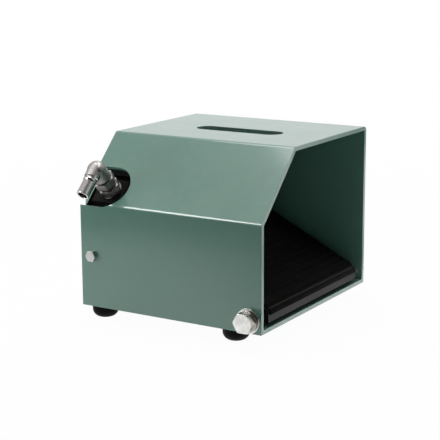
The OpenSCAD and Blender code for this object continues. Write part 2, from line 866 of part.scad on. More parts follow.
// threaded stem, hexagon and cone neck that the elbow seats in
module port_adapter() {
    top = nut_low + nut_hex - face_off - 1;
    color([0.74, 0.74, 0.72]) at_face() difference() {
        union() {
            translate([0, 0, -stem_l]) cylinder(r = stem_r, h = stem_l + seal_t);
            translate([0, 0, seal_t]) rotate(hex_turn) hex_prism(hex_af, adapter_hex);
            cylinder(r = neck_r, h = top);
        }
        translate([0, 0, -stem_l - 1]) cylinder(r = bore_in, h = top + stem_l + 2);
    }
}

module swivel_nut() {
    color([0.74, 0.74, 0.72]) in_frame() at_port() translate([0, 0, nut_low]) difference() {
        rotate(hex_turn) hex_prism(hex_af, nut_hex);
        translate([0, 0, -1]) cylinder(r = neck_r, h = nut_hex + 2);
    }
}

// elbow: boss on the port axis, body and necked thread of its arm
boss_r = 9;
boss_round = 6;
boss_low = nut_low + nut_hex + 1;
boss_top = elbow_out + 5.5;
body_r = 6.8;
body_up = 7;
body_l = 11;
groove_r = 5.5;
collar_r = 6.3;
collar_l = 2.2;
mouth_r = 4.1;
mouth_l = 12;

module elbow_arm() {
    rotate_extrude() bent_outline([[0, -body_up], [body_r, -body_up], [body_r, body_l], [0, body_l]],
        [0, 4, 0.5, 0]);
    cylinder(r = groove_r, h = body_l + collar_l + 1);
    translate([0, 0, body_l + collar_l]) cylinder(r = collar_r, h = collar_l);
    rotate_extrude() polygon([[0, body_l + collar_l], [thread_r, body_l + collar_l],
        [thread_r, arm_l - 0.8], [thread_r - 0.8, arm_l], [0, arm_l]]);
}

// forged elbow: round-shouldered boss on the port axis, and an arm down the slope to its thread
module elbow() {
    seat = nut_low + nut_hex - 1;
    color([0.76, 0.76, 0.74]) in_frame() at_port() difference() {
        union() {
            translate([0, 0, seat]) cylinder(r = neck_r - 0.3, h = elbow_out - seat);
            rotate_extrude() bent_outline([[0, boss_low], [boss_r, boss_low], [boss_r, boss_top],
                [0, boss_top]], [0, 0.6, boss_round, 0]);
            translate([0, 0, elbow_out]) rotate([0, -90, 0]) elbow_arm();
        }
        translate([0, 0, seat - 1]) cylinder(r = bore_in, h = elbow_out - seat + 1);
        translate([0, 0, elbow_out]) sphere(r = bore_in);
        translate([0, 0, elbow_out]) rotate([0, -90, 0]) {
            cylinder(r = bore_in, h = arm_l + 1);
            translate([0, 0, arm_l - mouth_l]) cylinder(r = mouth_r, h = mouth_l + 1);
        }
    }
}

// straight adapter in the outlet port, reaching out through the rear panel
module at_outlet() {
    in_frame() translate([spool_x, block_y1, lower_z]) along_y() children();
}

module outlet_seal() {
    color([0.35, 0.35, 0.34]) at_outlet() ring(hex_r - 0.4, stem_r, seal_t);
}

module outlet_adapter() {
    color([0.74, 0.74, 0.72]) at_outlet() difference() {
        union() {
            translate([0, 0, -stem_l]) cylinder(r = stem_r, h = stem_l + seal_t);
            translate([0, 0, seal_t]) hex_prism(hex_af, adapter_hex + 1);
            rotate_extrude() polygon([[0, 0], [thread_r, 0], [thread_r, outlet_out - 0.8],
                [thread_r - 0.8, outlet_out], [0, outlet_out]]);
        }
        translate([0, 0, -stem_l - 1]) cylinder(r = bore_in, h = outlet_out + stem_l + 2);
    }
}

// ---------- draw ----------

guard_shell();
floor_plate();
rear_panel();
panel_bolt_left();
panel_bolt_right();
panel_nut_left();
panel_nut_right();
foot_front_left();
foot_front_right();
foot_rear_left();
foot_rear_right();
foot_screw_front_left();
foot_screw_front_right();
foot_screw_rear_left();
foot_screw_rear_right();
hinge_bolt();
hinge_lock_washer();
hinge_washer_left();
hinge_washer_right();
hinge_nut();
hinge_spacer_left();
hinge_spacer_right();
pedal_plate();
hinge_tube();
tread_mat();
pedal_rib_left();
pedal_rib_right();
valve_body();
port_block();
block_screw_left();
block_screw_right();
upper_o_ring();
lower_o_ring();
gland();
rod_seal();
spool();
plunger();
return_spring();
bottom_plug();
riser_plug();
gallery_plug();
base_screw_1();
base_screw_2();
base_screw_3();
base_screw_4();
stop_bolt();
stop_nut();
keeper();
keeper_pad();
keeper_screw();
port_adapter();
port_seal();
swivel_nut();
elbow();
outlet_adapter();
outlet_seal();
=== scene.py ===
# %% [markdown]
# # A guarded foot pedal valve
#
# The real object is a folded steel guard, painted a satin grey-green, that keeps falling things off a black
# treadle. Under the treadle sits a small hydraulic valve, and its bright elbow fitting looks out through a
# notch in the guard. The solids come from a CAD model that also carries the joints, so here we only dress
# them: we light them, give each finish a material that is worked out in nodes, and model the small things
# that a CAD solid leaves out.

import json
import math

import bpy
from mathutils import Matrix, Vector


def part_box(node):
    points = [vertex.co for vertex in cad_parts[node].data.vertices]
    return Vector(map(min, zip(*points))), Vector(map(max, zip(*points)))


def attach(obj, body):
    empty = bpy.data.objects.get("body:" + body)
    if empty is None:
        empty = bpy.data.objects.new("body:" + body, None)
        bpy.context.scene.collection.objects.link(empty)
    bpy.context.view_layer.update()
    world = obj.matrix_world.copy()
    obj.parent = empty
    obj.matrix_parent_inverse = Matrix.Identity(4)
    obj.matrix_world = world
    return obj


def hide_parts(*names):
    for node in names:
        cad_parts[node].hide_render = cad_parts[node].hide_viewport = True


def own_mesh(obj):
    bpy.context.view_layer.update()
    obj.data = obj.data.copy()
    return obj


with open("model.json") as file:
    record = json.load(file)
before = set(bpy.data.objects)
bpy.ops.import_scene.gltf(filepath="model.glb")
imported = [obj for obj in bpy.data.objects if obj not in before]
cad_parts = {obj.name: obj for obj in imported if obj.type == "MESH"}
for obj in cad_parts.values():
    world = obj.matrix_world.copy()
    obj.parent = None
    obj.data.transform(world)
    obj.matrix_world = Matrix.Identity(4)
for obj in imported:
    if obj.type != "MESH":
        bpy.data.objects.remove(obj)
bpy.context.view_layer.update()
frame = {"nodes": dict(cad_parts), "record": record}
record = frame["record"]
slot_of = {piece["node"]: piece["material_slot"] for piece in record["subparts"]}
mount_of = {mount["name"]: mount for mount in record["mounts"]}
print(len(slot_of), "nodes with", len(set(slot_of.values())), "finishes")

# %% [markdown]
# ## The camera
#
# A long lens stands a good metre away, low and to the front left, so that the upright edges stay almost
# parallel. A camera could be aimed with a Track To constraint, but a matrix written from three turns is exact
# and can carry the slight roll of a hand-held shot. It aims at a point that is counted from the guard's lower
# front left corner.

# %% Place the camera
guard_low = Vector(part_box("guard_shell")[0])
AIM = guard_low + Vector((0.092077, 0.1, 0.079225))
DISTANCE = 1.27741
TURN, RISE, ROLL = math.radians(-58.505), math.radians(12.457), math.radians(-0.272)
SENSOR_WIDTH, FOCAL_LENGTH = 36, 104.9612727

back = Vector((math.cos(RISE) * math.sin(TURN), -math.cos(RISE) * math.cos(TURN), math.sin(RISE)))
across = Vector((0, 0, 1)).cross(back).normalized()
upward = back.cross(across)
right = across * math.cos(ROLL) + upward * math.sin(ROLL)
top = upward * math.cos(ROLL) - across * math.sin(ROLL)
stance = Matrix((right, top, back)).transposed().to_4x4()

lens = bpy.data.cameras.new("long_lens")
lens.sensor_width, lens.lens = SENSOR_WIDTH, FOCAL_LENGTH
lens.clip_start, lens.clip_end = 0.05, 30
lens.dof.use_dof = False
camera = bpy.data.objects.new("camera", lens)
bpy.context.scene.collection.objects.link(camera)
camera.matrix_world = Matrix.Translation(AIM + back * DISTANCE) @ stance
bpy.context.scene.camera = camera
print("camera at", [round(v, 3) for v in camera.matrix_world.translation], "lens", round(lens.lens, 1), "mm")

# %% [markdown]
# ## Helpers for nodes
#
# Materials and surroundings are trees of nodes, and building one by hand repeats the same few steps: add a
# node, set its sockets, link it. These helpers keep those steps short, and turn the colours that one sees on
# a screen into the linear values that a node wants.

# %% Helpers for colours and nodes
def shade(red, green, blue):
    """A screen colour from 0 to 255 as the linear value that a node wants."""
    screen = (red, green, blue)
    return (*(c / 255 / 12.92 if c <= 10 else ((c / 255 + 0.055) / 1.055) ** 2.4 for c in screen), 1)


def add(tree, kind, **values):
    """Adds a node and sets its properties, or its sockets by their names."""
    node = tree.nodes.new("ShaderNode" + kind)
    for key, value in values.items():
        if hasattr(node, key):
            setattr(node, key, value)
        else:
            node.inputs[key.replace("_", " ")].default_value = value
    return node


def join(tree, *links):
    """Links sockets, given in pairs of an output and the input that it feeds."""
    for source, target in links:
        tree.links.new(source, target)


def fade(tree, value, near, far, at_near=1.0, at_far=0.0):
    """Goes smoothly from one number to another while a value goes from near to far."""
    node = add(tree, "MapRange", interpolation_type="SMOOTHSTEP",
        From_Min=near, From_Max=far, To_Min=at_near, To_Max=at_far)
    join(tree, (value, node.inputs["Value"]))
    return node.outputs["Result"]


# %% [markdown]
# ## Lamps
#
# Small products are often shot in a light tent, and five area lamps make one here. A large soft light hangs
# overhead. One screen stands low behind the object, where its flat top mirrors it, and another to the front
# right. A softbox draws a bright line along each folded edge, and a small low light lifts the left wall. The
# softbox only shows in reflections and the low light only shades, so that each does one job. Lamps are given
# by the way they lie from the object, because what matters on a satin coat is which lamp each face mirrors.

# %% Place the lamps
def lamp(name, towards, distance, size, watts):
    """A round area lamp that faces the object from the way given."""
    data = bpy.data.lights.new(name, "AREA")
    data.shape, data.size, data.energy = "DISK", size, watts
    lamp_object = bpy.data.objects.new(name, data)
    bpy.context.scene.collection.objects.link(lamp_object)
    way = Vector(towards).normalized()
    lamp_object.location = AIM + way * distance
    lamp_object.rotation_euler = (-way).to_track_quat("-Z", "Y").to_euler()
    lamp_object.visible_camera = False
    return lamp_object


bpy.context.scene.view_settings.view_transform = "Standard"
lamp("overhead_tent", (0.1, 0.1, 1.3), distance=1.3, size=1.2, watts=17)
lamp("rear_screen", (0.833, 0.51, 0.216), distance=1.7, size=1.3, watts=1.15)
lamp("front_right_screen", (0.72, -0.68, 0.16), distance=1.5, size=1.2, watts=3)
low_light = lamp("left_rear_low_light", (-0.37, 0.45, -0.02), distance=0.58, size=0.3, watts=1.0)
low_light.visible_glossy = False
softbox = lamp("left_rear_softbox", (-0.62, 0.51, 0.55), distance=1.2, size=0.55, watts=10)
softbox.visible_diffuse = False

# %% [markdown]
# ## White surroundings
#
# The tent and the paper have to look pure white to the camera, and pale in reflections, without pouring more
# light on the object. Light Path tells which kind of ray asks: camera rays see white, mirrored rays see the
# tent as it is, dimmer towards its open front left, and all other rays see the modest light that the tent
# gives off. The paper keeps a little of its own shading, so the object has a soft shadow to stand on.

# %% The tent
OPEN_SIDE = (-0.85, -0.52, 0.0)

world = bpy.data.worlds.new("tent")
bpy.context.scene.world = world
world.use_nodes = True
sky = world.node_tree
sky.nodes.clear()
ray = add(sky, "LightPath")
mirrored = add(sky, "Math", operation="MAXIMUM")
ambient = add(sky, "Background", Color=(0.95, 0.98, 1, 1), Strength=0.11)
white = add(sky, "Background", Color=(1, 1, 1, 1), Strength=1.0)
tent_glow = add(sky, "Background", Strength=0.67)
way_out = add(sky, "TexCoord")
openness = add(sky, "VectorMath", operation="DOT_PRODUCT")
openness.inputs[1].default_value = OPEN_SIDE
for_mirrors = add(sky, "MixShader")
for_camera = add(sky, "MixShader")
result = add(sky, "OutputWorld")
join(sky,
    (way_out.outputs["Generated"], openness.inputs[0]),
    (fade(sky, openness.outputs["Value"], 0.2, 0.62, at_far=0.06), tent_glow.inputs["Color"]),
    (ray.outputs["Is Glossy Ray"], mirrored.inputs[0]),
    (ray.outputs["Is Transmission Ray"], mirrored.inputs[1]), (mirrored.outputs[0], for_mirrors.inputs[0]),
    (ambient.outputs[0], for_mirrors.inputs[1]), (tent_glow.outputs[0], for_mirrors.inputs[2]),
    (ray.outputs["Is Camera Ray"], for_camera.inputs[0]),
    (for_mirrors.outputs[0], for_camera.inputs[1]), (white.outputs[0], for_camera.inputs[2]),
    (for_camera.outputs[0], result.inputs[0]))
print("tent:", len(sky.nodes), "nodes")

# %% The paper
bpy.ops.object.select_all(action="DESELECT")
bpy.ops.mesh.primitive_plane_add(size=12, location=(0, 0, 0))
floor = bpy.context.object
floor.name = "floor"
paper = bpy.data.materials.new("floor_paper")
paper.use_nodes = True
tree = paper.node_tree
tree.nodes.clear()
where = add(tree, "TexCoord")
reach = add(tree, "VectorMath", operation="LENGTH")
join(tree, (where.outputs["Object"], reach.inputs[0]))
print("paper is", round(floor.dimensions.x), "m wide")


# %% Pools of light on the paper
def pool(middle, near, far):
    """A round bright pool that fades out between two distances from its middle."""
    beside = add(tree, "VectorMath", operation="DISTANCE")
    beside.inputs[1].default_value = middle
    join(tree, (where.outputs["Object"], beside.inputs[0]))
    return fade(tree, beside.outputs["Value"], near, far)


brighter = add(tree, "Math", operation="MAXIMUM")
brightest = add(tree, "Math", operation="MAXIMUM")
mirrored_paper = add(tree, "Emission", Strength=1.2)
join(tree,
    (fade(tree, reach.outputs["Value"], 0.2, 0.36), brighter.inputs[0]),
    (pool((-0.17, 0.2, 0), 0.15, 0.35), brighter.inputs[1]),
    (brighter.outputs[0], brightest.inputs[0]), (pool((0.6, -0.5, 0), 0.2, 0.55), brightest.inputs[1]),
    (brightest.outputs[0], mirrored_paper.inputs["Color"]))
print("mirrors see three pools of light")

# %% What each kind of ray sees of the paper
ray = add(tree, "LightPath")
lit = add(tree, "BsdfDiffuse", Color=(0.86, 0.86, 0.86, 1))
glow = add(tree, "Emission", Color=(1, 1, 1, 1), Strength=1.0)
share = add(tree, "Math", operation="MULTIPLY")
for_mirrors = add(tree, "MixShader")
for_camera = add(tree, "MixShader")
result = add(tree, "OutputMaterial")
join(tree,
    (ray.outputs["Is Glossy Ray"], for_mirrors.inputs[0]),
    (lit.outputs[0], for_mirrors.inputs[1]), (mirrored_paper.outputs[0], for_mirrors.inputs[2]),
    (ray.outputs["Is Camera Ray"], share.inputs[0]),
    (fade(tree, reach.outputs["Value"], 0.3, 1.3, 0.97, 1.0), share.inputs[1]),
    (share.outputs[0], for_camera.inputs[0]),
    (for_mirrors.outputs[0], for_camera.inputs[1]), (glow.outputs[0], for_camera.inputs[2]),
    (for_camera.outputs[0], result.inputs[0]))
floor.data.materials.append(paper)
print("paper:", len(tree.nodes), "nodes")

# %% [markdown]
# ## Shared effects
#
# Five things recur on the finishes of this object, so each is a node group that is built once. Cut edges are
# never knife sharp, and a Bevel node rounds them for the shader; where it bends the normal, it also tells us
# that we are on an edge. Enamel shows a faint orange peel. Steel that was turned or drawn shows fine marks in
# one direction. Everything that lives on a workshop floor gathers a little dust on what faces up. The last
# group tells whether a point lies in a box and looks a given way, for the few places of a solid whose colour
# differs from the rest of it. Most of these are painted light or painted shade, such as a lit cut edge.

# %% Helper for a shared effect
def effect(name, inputs, outputs):
    """A node group with named inputs (name, kind, value) and outputs (name, kind)."""
    group = bpy.data.node_groups.new(name, "ShaderNodeTree")
    for label, kind, value in inputs:
        socket = group.interface.new_socket(name=label, in_out="INPUT", socket_type="NodeSocket" + kind)
        socket.default_value = value
    for label, kind in outputs:
        group.interface.new_socket(name=label, in_out="OUTPUT", socket_type="NodeSocket" + kind)
    return group, group.nodes.new("NodeGroupInput"), group.nodes.new("NodeGroupOutput")


# %% Soft rim
soft_rim, into, outof = effect("soft_rim",
    [("Radius", "Float", 0.0004)],
    [("Normal", "Vector"), ("Edge", "Float")])
rounded = add(soft_rim, "Bevel", samples=6)
flat = add(soft_rim, "NewGeometry")
alike = add(soft_rim, "VectorMath", operation="DOT_PRODUCT")
edge = add(soft_rim, "MapRange", From_Min=0.985, From_Max=0.8, To_Min=0.0, To_Max=1.0)
join(soft_rim,
    (into.outputs["Radius"], rounded.inputs["Radius"]), (rounded.outputs["Normal"], alike.inputs[0]),
    (flat.outputs["True Normal"], alike.inputs[1]), (alike.outputs["Value"], edge.inputs["Value"]),
    (rounded.outputs["Normal"], outof.inputs["Normal"]), (edge.outputs["Result"], outof.inputs["Edge"]))
print("soft_rim is ready")

# %% Orange peel
orange_peel, into, outof = effect("orange_peel",
    [("Peel Scale", "Float", 500), ("Cloud Scale", "Float", 16)],
    [("Height", "Float"), ("Cloud", "Float")])
where = add(orange_peel, "TexCoord")
peel = add(orange_peel, "TexNoise", Detail=2, Roughness=0.4)
cloud = add(orange_peel, "TexNoise", Detail=4, Roughness=0.6)
join(orange_peel,
    (where.outputs["Object"], peel.inputs["Vector"]), (where.outputs["Object"], cloud.inputs["Vector"]),
    (into.outputs["Peel Scale"], peel.inputs["Scale"]), (into.outputs["Cloud Scale"], cloud.inputs["Scale"]),
    (peel.outputs["Fac"], outof.inputs["Height"]), (cloud.outputs["Fac"], outof.inputs["Cloud"]))
print("orange_peel is ready")

# %% Tool marks
tool_marks, into, outof = effect("tool_marks",
    [("Vector", "Vector", (0, 0, 0)), ("Along", "Float", 60), ("Across", "Float", 2500)],
    [("Height", "Float"), ("Patch", "Float")])
stretch = add(tool_marks, "CombineXYZ")
scaled = add(tool_marks, "VectorMath", operation="MULTIPLY")
marks = add(tool_marks, "TexNoise", Scale=1, Detail=3, Roughness=0.55)
patch = add(tool_marks, "TexNoise", Scale=220, Detail=3, Roughness=0.6)
join(tool_marks,
    (into.outputs["Along"], stretch.inputs["X"]), (into.outputs["Along"], stretch.inputs["Y"]),
    (into.outputs["Across"], stretch.inputs["Z"]),
    (into.outputs["Vector"], scaled.inputs[0]), (stretch.outputs["Vector"], scaled.inputs[1]),
    (scaled.outputs["Vector"], marks.inputs["Vector"]), (into.outputs["Vector"], patch.inputs["Vector"]),
    (marks.outputs["Fac"], outof.inputs["Height"]), (patch.outputs["Fac"], outof.inputs["Patch"]))
print("tool_marks is ready")

# %% Workshop dust
dust, into, outof = effect("workshop_dust",
    [("Amount", "Float", 0.2), ("Scale", "Float", 90)],
    [("Mask", "Float")])
where = add(dust, "TexCoord")
specks = add(dust, "TexNoise", Detail=6, Roughness=0.7)
settled = add(dust, "MapRange", From_Min=0.45, From_Max=0.75, To_Min=0.0, To_Max=1.0)
normal = add(dust, "NewGeometry")
parts = add(dust, "SeparateXYZ")
upwards = add(dust, "MapRange", From_Min=0.2, From_Max=1.0, To_Min=0.15, To_Max=1.0)
both = add(dust, "Math", operation="MULTIPLY")
much = add(dust, "Math", operation="MULTIPLY")
join(dust,
    (where.outputs["Object"], specks.inputs["Vector"]), (into.outputs["Scale"], specks.inputs["Scale"]),
    (specks.outputs["Fac"], settled.inputs["Value"]), (normal.outputs["Normal"], parts.inputs["Vector"]),
    (parts.outputs["Z"], upwards.inputs["Value"]), (settled.outputs["Result"], both.inputs[0]),
    (upwards.outputs["Result"], both.inputs[1]), (both.outputs[0], much.inputs[0]),
    (into.outputs["Amount"], much.inputs[1]), (much.outputs[0], outof.inputs["Mask"]))
print("workshop_dust is ready")

# %% In a zone
# With no facing given, both products are 0 and every face in the box counts.
in_zone, into, outof = effect("in_zone",
    [("Middle", "Vector", (0, 0, 0)), ("Half Size", "Vector", (1, 1, 1)), ("Facing", "Vector", (0, 0, 0))],
    [("Mask", "Float")])
where = add(in_zone, "TexCoord")
away = add(in_zone, "VectorMath", operation="SUBTRACT")
either_side = add(in_zone, "VectorMath", operation="ABSOLUTE")
shares = add(in_zone, "VectorMath", operation="DIVIDE")
apart = add(in_zone, "SeparateXYZ")
wider = add(in_zone, "Math", operation="MAXIMUM")
widest = add(in_zone, "Math", operation="MAXIMUM")
within = add(in_zone, "Math", operation="LESS_THAN")
within.inputs[1].default_value = 1
normal = add(in_zone, "NewGeometry")
towards = add(in_zone, "VectorMath", operation="DOT_PRODUCT")
asked = add(in_zone, "VectorMath", operation="DOT_PRODUCT")
least = add(in_zone, "Math", operation="MULTIPLY_ADD")
least.inputs[1].default_value, least.inputs[2].default_value = 0.5, -0.01
faces_it = add(in_zone, "Math", operation="GREATER_THAN")
both = add(in_zone, "Math", operation="MULTIPLY")
join(in_zone,
    (where.outputs["Object"], away.inputs[0]), (into.outputs["Middle"], away.inputs[1]),
    (away.outputs["Vector"], either_side.inputs[0]), (either_side.outputs["Vector"], shares.inputs[0]),
    (into.outputs["Half Size"], shares.inputs[1]), (shares.outputs["Vector"], apart.inputs["Vector"]),
    (apart.outputs["X"], wider.inputs[0]), (apart.outputs["Y"], wider.inputs[1]),
    (wider.outputs[0], widest.inputs[0]), (apart.outputs["Z"], widest.inputs[1]),
    (widest.outputs[0], within.inputs[0]),
    (normal.outputs["True Normal"], towards.inputs[0]), (into.outputs["Facing"], towards.inputs[1]),
    (into.outputs["Facing"], asked.inputs[0]), (into.outputs["Facing"], asked.inputs[1]),
    (asked.outputs["Value"], least.inputs[0]), (towards.outputs["Value"], faces_it.inputs[0]),
    (least.outputs[0], faces_it.inputs[1]), (within.outputs[0], both.inputs[0]),
    (faces_it.outputs[0], both.inputs[1]), (both.outputs[0], outof.inputs["Mask"]))
print("in_zone is ready")

# %% [markdown]
# ## Finishes
#
# Each slot of the record gets its own material. They could be built one by one, but three makers cover them
# all: enamel for the painted sheet and the black pedal, rubber for mat, feet and seals, and plated steel for
# everything that was turned, forged or drawn. Constants such as the coat and the specular level sit on the
# shader's own sockets, and only what changes over the surface comes from nodes. Each maker takes a list of
# zones, where another colour shows.

# %% Helpers that set up one finish
finish_of = {}
ANY_WAY = (0, 0, 0)
DUST_GREY, SOOT_GREY, DULL_STAIN = shade(176, 172, 160), shade(120, 116, 108), (0.35, 0.33, 0.3, 1)


def start_finish(name, **sockets):
    """An empty material with its shader, and a function that places a shared effect in it."""
    material = bpy.data.materials.new(name)
    material.use_nodes = True
    tree = material.node_tree
    shader = tree.nodes["Principled BSDF"]
    for label, value in sockets.items():
        shader.inputs[label.replace("_", " ")].default_value = value

    def place_effect(group, **values):
        node = tree.nodes.new("ShaderNodeGroup")
        node.node_tree = group
        for label, value in values.items():
            node.inputs[label.replace("_", " ")].default_value = value
        return node

    finish_of[name] = material
    return tree, shader, place_effect


def blend_colours(tree, mask, first, second):
    """Mixes two colours, or links, by a mask."""
    mix = tree.nodes.new("ShaderNodeMix")
    mix.data_type = "RGBA"
    join(tree, (mask, mix.inputs["Factor"]))
    for label, colour in (("A", first), ("B", second)):
        socket = next(s for s in mix.inputs if s.name == label and s.type == "RGBA")
        if isinstance(colour, tuple):
            socket.default_value = colour
        else:
            join(tree, (colour, socket))
    return next(s for s in mix.outputs if s.type == "RGBA")


def spread(tree, value, low, high):
    """Stretches the middle of a noise over the range from low to high."""
    node = add(tree, "MapRange", From_Min=0.3, From_Max=0.7, To_Min=low, To_Max=high)
    join(tree, (value, node.inputs["Value"]))
    return node.outputs["Result"]


def tint_zones(tree, place_effect, ground, zones):
    """Gives each zone its own colour. A zone is (middle, half its size, the way its faces look, colour)."""
    for middle, half, facing, colour in zones:
        zone = place_effect(in_zone, Middle=middle, Half_Size=half, Facing=facing)
        ground = blend_colours(tree, zone.outputs["Mask"], ground, colour)
    return ground


def surface(tree, shader, colour, roughness, height, rim, strength, depth):
    """Links the colour, the roughness and a fine relief on softened edges to the shader."""
    bump = add(tree, "Bump", Strength=strength, Distance=depth)
    join(tree,
        (colour, shader.inputs["Base Color"]), (roughness, shader.inputs["Roughness"]),
        (height, bump.inputs["Height"]), (rim.outputs["Normal"], bump.inputs["Normal"]),
        (bump.outputs["Normal"], shader.inputs["Normal"]))


# %% [markdown]
# ## Enamel
#
# The guard is sprayed with a satin enamel, and pedal and valve are painted black. Paint could be one flat
# colour, but a real coat is a little cloudy, and a faint orange peel breaks up its reflections. Its edges are
# painted paler, partly for the thin and worn coat there and partly as a painted highlight where they catch the
# light. The clouds and the peel come from noise and the pale edges from the soft rim, so they lie right on any
# shape. A clear coat on the guard keeps its highlights sharp over the satin colour.

# %% The enamel maker
def enamel(name, colour, cloud, edge, dusty, gloss, peel=0.00002, zones=(), **sockets):
    """Sprayed paint: cloudy colour, edges paled by thin paint and painted highlight, faint peel, even gloss.
    """
    tree, shader, place_effect = start_finish(name, **sockets)
    rim = place_effect(soft_rim, Radius=0.0005)
    skin = place_effect(orange_peel)
    dirt = place_effect(dust, Amount=dusty)
    ground = blend_colours(tree, skin.outputs["Cloud"], colour, cloud)
    ground = tint_zones(tree, place_effect, ground, zones)
    # pale edges: partly thin, worn paint and partly a painted highlight where the edges catch the light
    edge_wear_and_painted_highlight = blend_colours(tree, rim.outputs["Edge"], ground, edge)
    dusted = blend_colours(tree, dirt.outputs["Mask"], edge_wear_and_painted_highlight, DUST_GREY)
    roughness = spread(tree, skin.outputs["Cloud"], gloss - 0.04, gloss + 0.05)
    surface(tree, shader, dusted, roughness, skin.outputs["Height"], rim, strength=0.35, depth=peel)


# %% The enamels
MID_HEIGHT, ALL_OVER, THIN, SHEET = 0.09, 0.2, 0.0006, 0.004
panel_high = Vector(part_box("rear_panel")[1])
to_the_front = (0, -1, 0)
# the cut edge that faces the front is painted lighter: painted light for the light that it catches
front_cut_painted_light = ((0, guard_low.y, MID_HEIGHT), (ALL_OVER, THIN, ALL_OVER), to_the_front, shade(150, 184, 171))
# the rear panel's inside is painted nearly black: painted shade for the deep shade inside the guard
panel_inside_painted_shade = ((0, panel_high.y - SHEET, MID_HEIGHT), (ALL_OVER, THIN, ALL_OVER), to_the_front,
    shade(14, 18, 16))
enamel("guard_paint", shade(88, 131, 117), shade(93, 136, 121), shade(128, 162, 147), dusty=0.10, gloss=0.36,
    zones=(front_cut_painted_light, panel_inside_painted_shade), Specular_IOR_Level=0.5, Coat_Weight=0.8, Coat_Roughness=0.1)
enamel("pedal_black", shade(12, 12, 13), shade(15, 15, 16), shade(24, 24, 25), dusty=0.10, gloss=0.34,
    Specular_IOR_Level=0.13)
# the valve is painted a deeper black than the pedal: painted shade for the dark inside of the guard
enamel("valve_black", shade(7, 7, 7), shade(11, 10, 10), shade(20, 19, 19), dusty=0.04, gloss=0.6,
    peel=0.00004, Specular_IOR_Level=0.06)
print("enamels:", list(finish_of))

# %% [markdown]
# ## Rubber
#
# Mat, feet and seals are moulded rubber, which is nearly black and scatters the little light that it returns.
# A dark and rough shader would do from afar, but close by it looks like a hole. A fine grain as relief and a
# greyish bloom in patches give the eye something to hold on to. There are no pale edges all round, as there is
# no paint to wear; only the mat's fold takes a painted highlight.

# %% The rubber maker
def rubber(name, colour, bloom, rough, dusty, grain=900, radius=0.0005, zones=(), **sockets):
    """Moulded rubber: nearly black, with a greyish bloom in patches and a fine moulded grain."""
    tree, shader, place_effect = start_finish(name, **sockets)
    rim = place_effect(soft_rim, Radius=radius)
    skin = place_effect(orange_peel, Peel_Scale=grain, Cloud_Scale=45)
    dirt = place_effect(dust, Amount=dusty, Scale=140)
    ground = blend_colours(tree, skin.outputs["Cloud"], colour, bloom)
    ground = tint_zones(tree, place_effect, ground, zones)
    dusted = blend_colours(tree, dirt.outputs["Mask"], ground, SOOT_GREY)
    roughness = spread(tree, skin.outputs["Cloud"], rough - 0.06, rough + 0.08)
    surface(tree, shader, dusted, roughness, skin.outputs["Height"], rim, strength=0.5, depth=0.00005)


# %% The rubbers
RIM_BACK, RIM_UP = 0.0010, 0.0134
plate_low = Vector(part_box("pedal_plate")[0])
# a painted highlight on the mat's rounded edge where it comes round the fold
fold_painted_highlight = ((0, plate_low.y + RIM_BACK, plate_low.z + RIM_UP), (0.3, 0.0007, 0.0008), ANY_WAY,
    shade(58, 54, 50))
rubber("mat_rubber", shade(8, 8, 8), shade(11, 11, 11), rough=0.75, dusty=0.02, zones=(fold_painted_highlight,),
    Specular_IOR_Level=0.06)
rubber("foot_rubber", shade(7, 7, 7), shade(11, 11, 11), rough=0.55, dusty=0.03, grain=600, radius=0.001,
    Specular_IOR_Level=0.08)
rubber("seal_rubber", shade(12, 12, 12), shade(18, 18, 18), rough=0.45, dusty=0.0, Specular_IOR_Level=0.4)
print("rubbers:", [name for name in finish_of if "rubber" in name])

# %% [markdown]
# ## Plated and bare steel
#
# Screws and fittings are zinc plated, the spool is ground, and the spring is bare wire. Metal shows by what it
# mirrors, and the marks of the tool blur that. An anisotropic shader could do the blur, but a noise that is
# drawn out in one direction also gives the marks themselves, and it is the same in every view. A Mapping node
# turns it along the axis of the part. The elbow's tube is worn bright, so it takes a smoother zone of its own.

# %% The maker of plated and bare steel
def plated(name, colour, cloud, rough, turn=(0, 0, 0), across=2500, depth=0.00003, radius=0.0004,
           polished=None, zones=(), **sockets):
    """Metal with tool marks across one axis and duller patches.

    One part may be polished: (middle, half its size, colour, roughness).
    """
    tree, shader, place_effect = start_finish(name, Metallic=1.0, **sockets)
    rim = place_effect(soft_rim, Radius=radius)
    where = add(tree, "TexCoord")
    turned = add(tree, "Mapping")
    turned.inputs["Rotation"].default_value = [math.radians(a) for a in turn]
    marks = place_effect(tool_marks, Across=across)
    join(tree,
        (where.outputs["Object"], turned.inputs["Vector"]), (turned.outputs["Vector"], marks.inputs["Vector"]))
    dirt = place_effect(dust, Amount=0.06, Scale=160)
    ground = blend_colours(tree, spread(tree, marks.outputs["Patch"], 0, 1), colour, cloud)
    ground = tint_zones(tree, place_effect, ground, zones)
    dull = spread(tree, marks.outputs["Patch"], rough - 0.06, rough + 0.1)
    if polished:
        middle, half, bright_colour, smoothness = polished
        zone = place_effect(in_zone, Middle=middle, Half_Size=half)
        ground = blend_colours(tree, zone.outputs["Mask"], ground, bright_colour)
        smoother = add(tree, "MapRange", To_Max=smoothness)
        join(tree, (zone.outputs["Mask"], smoother.inputs["Value"]), (dull, smoother.inputs["To Min"]))
        dull = smoother.outputs["Result"]
    dusted = blend_colours(tree, dirt.outputs["Mask"], ground, DULL_STAIN)
    surface(tree, shader, dusted, dull, marks.outputs["Height"], rim, strength=0.4, depth=depth)


# %% The metals of the hinge and the screws
AROUND, HEAD_RIM, SEAM = 0.02, 0.0007, 0.0001


def slice_across(low_x, high_x, centre, colour):
    """A zone between two places along x, round the given centre."""
    middle = ((low_x + high_x) / 2, centre.y, centre.z)
    return middle, ((high_x - low_x) / 2, AROUND, AROUND), ANY_WAY, colour


bolt_low = Vector(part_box("hinge_bolt")[0])
lock_low, lock_high = (Vector(corner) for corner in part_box("hinge_lock_washer"))
lock_centre = (lock_low + lock_high) / 2
